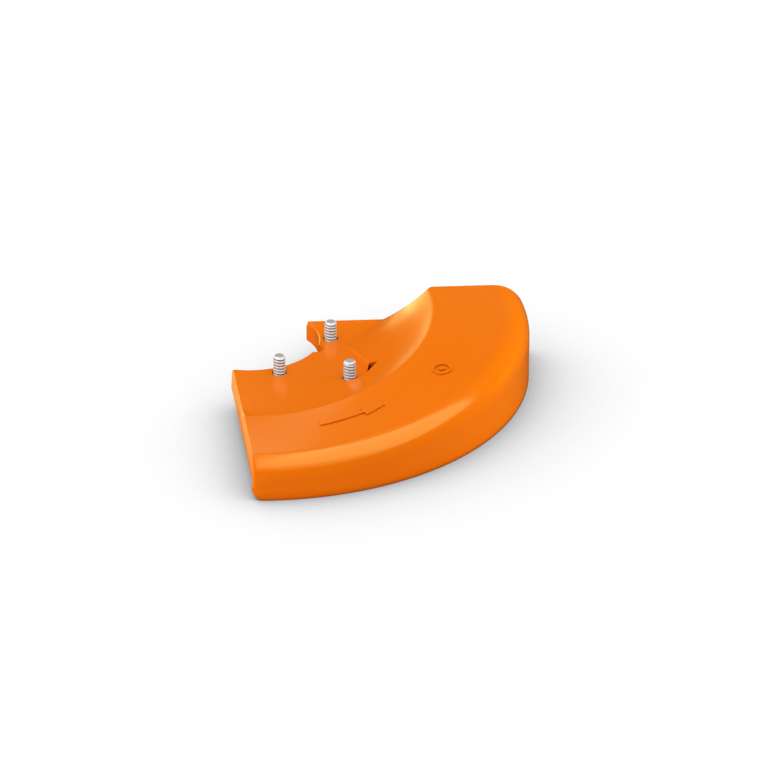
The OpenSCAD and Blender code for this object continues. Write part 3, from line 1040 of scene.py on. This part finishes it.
def floor_material():
    """White floor that shows only the soft shade round the object.

    The camera sees a glow that an ambient occlusion node dims where something stands near,
    which paints the shadow round the object, so the plastic's colour does not spill on it.
    Reflections see a floor painted dark, with a painted amber patch to the left that puts a
    painted reflection on the guard's left end.
    """
    settings = bpy.context.scene.studio
    mat, tree, shader = principled("studio_floor")
    nodes, links = tree.nodes, tree.links
    grey = settings.floor_grey
    shader.inputs["Base Color"].default_value = (grey, grey, grey, 1)
    shader.inputs["Roughness"].default_value = 1.0
    shader.inputs["Specular IOR Level"].default_value = 0.0
    where = nodes.new("ShaderNodeTexCoord")
    split = nodes.new("ShaderNodeSeparateXYZ")
    links.new(where.outputs["Object"], split.inputs[0])
    # Painted reflection: glossy rays see the floor amber left of x = -0.078 and nearly black elsewhere.
    rightwards = nodes.new("ShaderNodeMapRange")
    rightwards.inputs["From Min"].default_value = -0.078
    rightwards.inputs["From Max"].default_value = -0.062
    links.new(split.outputs["X"], rightwards.inputs["Value"])
    tone = nodes.new("ShaderNodeMix")
    tone.data_type = "RGBA"
    links.new(rightwards.outputs["Result"], tone.inputs["Factor"])
    tone.inputs[6].default_value = (1.0, 0.6, 0.2, 1)
    tone.inputs[7].default_value = (0.03, 0.03, 0.03, 1)
    mirrored = nodes.new("ShaderNodeBsdfDiffuse")
    links.new(tone.outputs[2], mirrored.inputs["Color"])
    # Painted shadow: ambient occlusion dims the glow the camera sees near the guard and screws.
    occlusion_shade = nodes.new("ShaderNodeAmbientOcclusion")
    occlusion_shade.samples = 16
    occlusion_shade.inputs["Distance"].default_value = settings.shade_reach
    glow = nodes.new("ShaderNodeMath")
    glow.operation = "MULTIPLY_ADD"
    links.new(occlusion_shade.outputs["AO"], glow.inputs[0])
    glow.inputs[1].default_value = 1.15
    glow.inputs[2].default_value = -0.13
    darkest = nodes.new("ShaderNodeMath")
    darkest.operation = "MAXIMUM"
    darkest.inputs[1].default_value = 0.16
    links.new(glow.outputs[0], darkest.inputs[0])
    seen = nodes.new("ShaderNodeEmission")
    links.new(darkest.outputs[0], seen.inputs["Strength"])
    path = nodes.new("ShaderNodeLightPath")
    in_gloss = nodes.new("ShaderNodeMixShader")
    links.new(path.outputs["Is Glossy Ray"], in_gloss.inputs["Fac"])
    links.new(shader.outputs[0], in_gloss.inputs[1])
    links.new(mirrored.outputs[0], in_gloss.inputs[2])
    pick = nodes.new("ShaderNodeMixShader")
    links.new(path.outputs["Is Camera Ray"], pick.inputs["Fac"])
    links.new(in_gloss.outputs[0], pick.inputs[1])
    links.new(seen.outputs[0], pick.inputs[2])
    links.new(pick.outputs[0], nodes["Material Output"].inputs["Surface"])
    return mat


# Operators

class GUARD_OT_make_guard(bpy.types.Operator):
    """Build the moulded guard in place of its solid."""

    bl_idname = "guard.make_guard"
    bl_label = "Make Guard"

    def execute(self, context):
        shape = context.scene.guard_shape
        guard = guard_mesh(shape)
        guard.name = "guard"
        guard.data.materials.clear()
        guard.data.materials.append(plastic_material())
        for face in guard.data.polygons:
            face.material_index = 0
        shade(guard, 32)
        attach(guard, "root")
        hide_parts(GUARD_NODE)
        return {"FINISHED"}


class GUARD_OT_make_screws(bpy.types.Operator):
    """Build the three screws with their threads."""

    bl_idname = "guard.make_screws"
    bl_label = "Make Screws"

    def execute(self, context):
        shape, screw = context.scene.guard_shape, context.scene.screw_shape
        pattern = screw_mesh(shape, screw)
        shade(pattern, 40)
        gx, gy = gearbox_axis()
        points = [(gx + x, gy + y, 0) for x, y in screw_places()]
        screws = new_object("screws", points, [])
        values = {"Screw": pattern, "Most Turn": math.tau, "Seed": 4,
                  "Material": zinc_material()}
        run_tree(screws, screws_tree(), values)
        bpy.data.objects.remove(pattern)
        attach(screws, "root")
        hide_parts(*SCREW_NODES)
        return {"FINISHED"}


class GUARD_OT_make_studio(bpy.types.Operator):
    """Make the white floor, the soft lights and the camera."""

    bl_idname = "guard.make_studio"
    bl_label = "Make Studio"

    def execute(self, context):
        settings = context.scene.studio
        make_floor()
        make_world()
        make_lights()
        make_camera(settings)
        return {"FINISHED"}


def make_floor():
    half = 4.0
    floor = new_object("floor", [(-half, -half, 0), (half, -half, 0), (half, half, 0),
                                 (-half, half, 0)], [(0, 1, 2, 3)])
    floor.data.materials.append(floor_material())


def area_light(name, place, aim, size, radiance, colour=(1, 1, 1), turn=0.0):
    """Rectangular light whose power follows its size, turned about its own middle."""
    light = bpy.data.lights.new(name, "AREA")
    light.shape = "RECTANGLE"
    light.size, light.size_y = size
    light.energy = radiance * math.pi * size[0] * size[1]
    light.color = colour
    obj = bpy.data.objects.new(name, light)
    bpy.context.scene.collection.objects.link(obj)
    obj.location = place
    obj.rotation_euler = (Vector(aim) - Vector(place)).to_track_quat("-Z", "Y").to_euler()
    obj.rotation_euler.z += math.radians(turn)
    obj.visible_camera = False
    return obj


def light_only(light, piece, soft, mirrored):
    """Let a light fall on one piece alone, as soft light, as a mirrored card, or as both."""
    lit = bpy.data.collections.new("lit_by_" + light.name)
    lit.objects.link(bpy.data.objects[piece])
    light.light_linking.receiver_collection = lit
    light.light_linking.blocker_collection = lit
    light.visible_diffuse, light.visible_glossy = soft, mirrored


# Each light's place, aim, size, radiance and colour.
AMBER, GOLD, WARM = (1, 0.44, 0), (0.75, 1, 0.38), (0.6, 1, 0.75)
GUARD_FILLS = (
    ("front_fill", (0.3, -1.2, 0.06), (0, 0, 0.03), (1.4, 0.3), 2.6, AMBER),
    ("left_fill", (-1.0, -0.1, 0.2), (0, 0, 0.02), (0.3, 0.4), 13, (1, 0.7, 0)),
    ("right_fill", (1.0, 0.5, 0.15), (0, 0, 0.02), (0.5, 0.3), 25, (0.8, 1, 0)))
GUARD_CARDS = (
    ("main_card", (0.83, -0.42, 1.0), (0.83, -0.42, 0), (1.95, 1.3), 2.2, WARM, -9),
    ("long_card", (0.83, -0.76, 1.001), (0.83, -0.76, 0), (2.0, 1.95), 1.9, WARM, -9),
    ("back_card", (-0.06, 0.3, 0.21), (-0.06, 0, 0.21), (0.5, 0.12), 0.1, WARM),
    ("back_left_card", (-0.15, 0.3, 0.235), (-0.15, 0, 0.235), (0.2, 0.06), 1.0, WARM),
    ("top_card", (-0.36, 0.3, 1.0), (-0.36, 0.3, 0), (0.9, 1.1), 0.8, WARM),
    ("low_card", (-0.48, 0.96, 0.12), (0, 0, 0.03), (0.46, 0.24), 2.5, GOLD),
    ("low_wide_card", (-0.49, 0.98, 0.12), (0, 0, 0.03), (0.68, 0.3), 1.4, GOLD))
SCREW_BOXES = (
    ("screw_left_box", (-0.8, -0.5, 0.5), (0, 0, 0.03), (0.9, 0.9), 2.4),
    ("screw_right_box", (0.8, -0.7, 0.4), (0, 0, 0.03), (0.9, 0.9), 1.4),
    ("screw_back_box", (0, 0.7, 0.4), (0, 0, 0.03), (1.2, 0.6), 0.5))


def make_world():
    """White behind the object, plain soft light on it, and little to mirror in its gloss."""
    world = bpy.data.worlds.new("studio_world")
    bpy.context.scene.world = world
    world.use_nodes = True
    nodes, links = world.node_tree.nodes, world.node_tree.links
    path = nodes.new("ShaderNodeLightPath")
    backs = []
    for strength in (bpy.context.scene.studio.soft_light, 0.03, 1.0):
        back = nodes.new("ShaderNodeBackground")
        back.inputs["Color"].default_value = (1, 1, 1, 1)
        back.inputs["Strength"].default_value = strength
        backs.append(back)
    shown = backs[0].outputs[0]
    for ray, back in (("Is Glossy Ray", backs[1]), ("Is Camera Ray", backs[2])):
        pick = nodes.new("ShaderNodeMixShader")
        links.new(path.outputs[ray], pick.inputs["Fac"])
        links.new(shown, pick.inputs[1])
        links.new(back.outputs[0], pick.inputs[2])
        shown = pick.outputs[0]
    links.new(shown, nodes["World Output"].inputs["Surface"])


def make_lights():
    overhead = area_light("overhead", (0, -0.05, 1.0), (0, -0.05, 0), (1.0, 1.1), 2.25)
    overhead.visible_glossy = False
    for entry in GUARD_FILLS:
        light_only(area_light(*entry), "guard", True, False)
    for entry in GUARD_CARDS:
        light_only(area_light(*entry), "guard", False, True)
    for entry in SCREW_BOXES:
        light_only(area_light(*entry), "screws", True, True)


def make_camera(settings):
    """Camera at the photograph's angle; its focal length is given in pixels of a 768 pixel frame."""
    focal_px, frame_px, sensor = 4500, 768, 36
    data = bpy.data.cameras.new("camera")
    data.sensor_width = sensor
    data.lens = sensor * focal_px / frame_px
    data.clip_end = 50
    cam = bpy.data.objects.new("camera", data)
    bpy.context.scene.collection.objects.link(cam)
    aim = Vector((1.63, 40.9, 0)) * MM
    a, e = math.radians(settings.azimuth), math.radians(settings.elevation)
    back = Vector((math.sin(a) * math.cos(e), -math.cos(a) * math.cos(e), math.sin(e)))
    cam.location = aim + back * settings.distance
    cam.rotation_euler = (-back).to_track_quat("-Z", "Y").to_euler()
    bpy.context.scene.camera = cam


class GUARD_PT_panel(bpy.types.Panel):
    """Sidebar panel with the guard's steps and sizes."""

    bl_label = "Blade Guard"
    bl_idname = "GUARD_PT_panel"
    bl_space_type = "VIEW_3D"
    bl_region_type = "UI"
    bl_category = "Blade Guard"

    def draw(self, context):
        layout = self.layout
        for operator in (GUARD_OT_make_guard, GUARD_OT_make_screws, GUARD_OT_make_studio):
            layout.operator(operator.bl_idname)
        for group in (context.scene.guard_shape, context.scene.guard_finish,
                      context.scene.screw_shape, context.scene.studio):
            box = layout.box()
            for name in group.__annotations__:
                box.prop(group, name)


CLASSES = (GuardShape, GuardFinish, ScrewShape, StudioSettings, GUARD_OT_make_guard,
           GUARD_OT_make_screws, GUARD_OT_make_studio, GUARD_PT_panel)


def register():
    for cls in CLASSES:
        bpy.utils.register_class(cls)
    scene = bpy.types.Scene
    scene.guard_shape = bpy.props.PointerProperty(type=GuardShape)
    scene.guard_finish = bpy.props.PointerProperty(type=GuardFinish)
    scene.screw_shape = bpy.props.PointerProperty(type=ScrewShape)
    scene.studio = bpy.props.PointerProperty(type=StudioSettings)


def unregister():
    scene = bpy.types.Scene
    del scene.studio, scene.screw_shape, scene.guard_finish, scene.guard_shape
    for cls in reversed(CLASSES):
        bpy.utils.unregister_class(cls)


def main():
    register()
    bpy.context.scene.view_settings.view_transform = "Standard"
    bpy.ops.guard.make_guard()
    bpy.ops.guard.make_screws()
    bpy.ops.guard.make_studio()


if __name__ == "__main__":
    main()
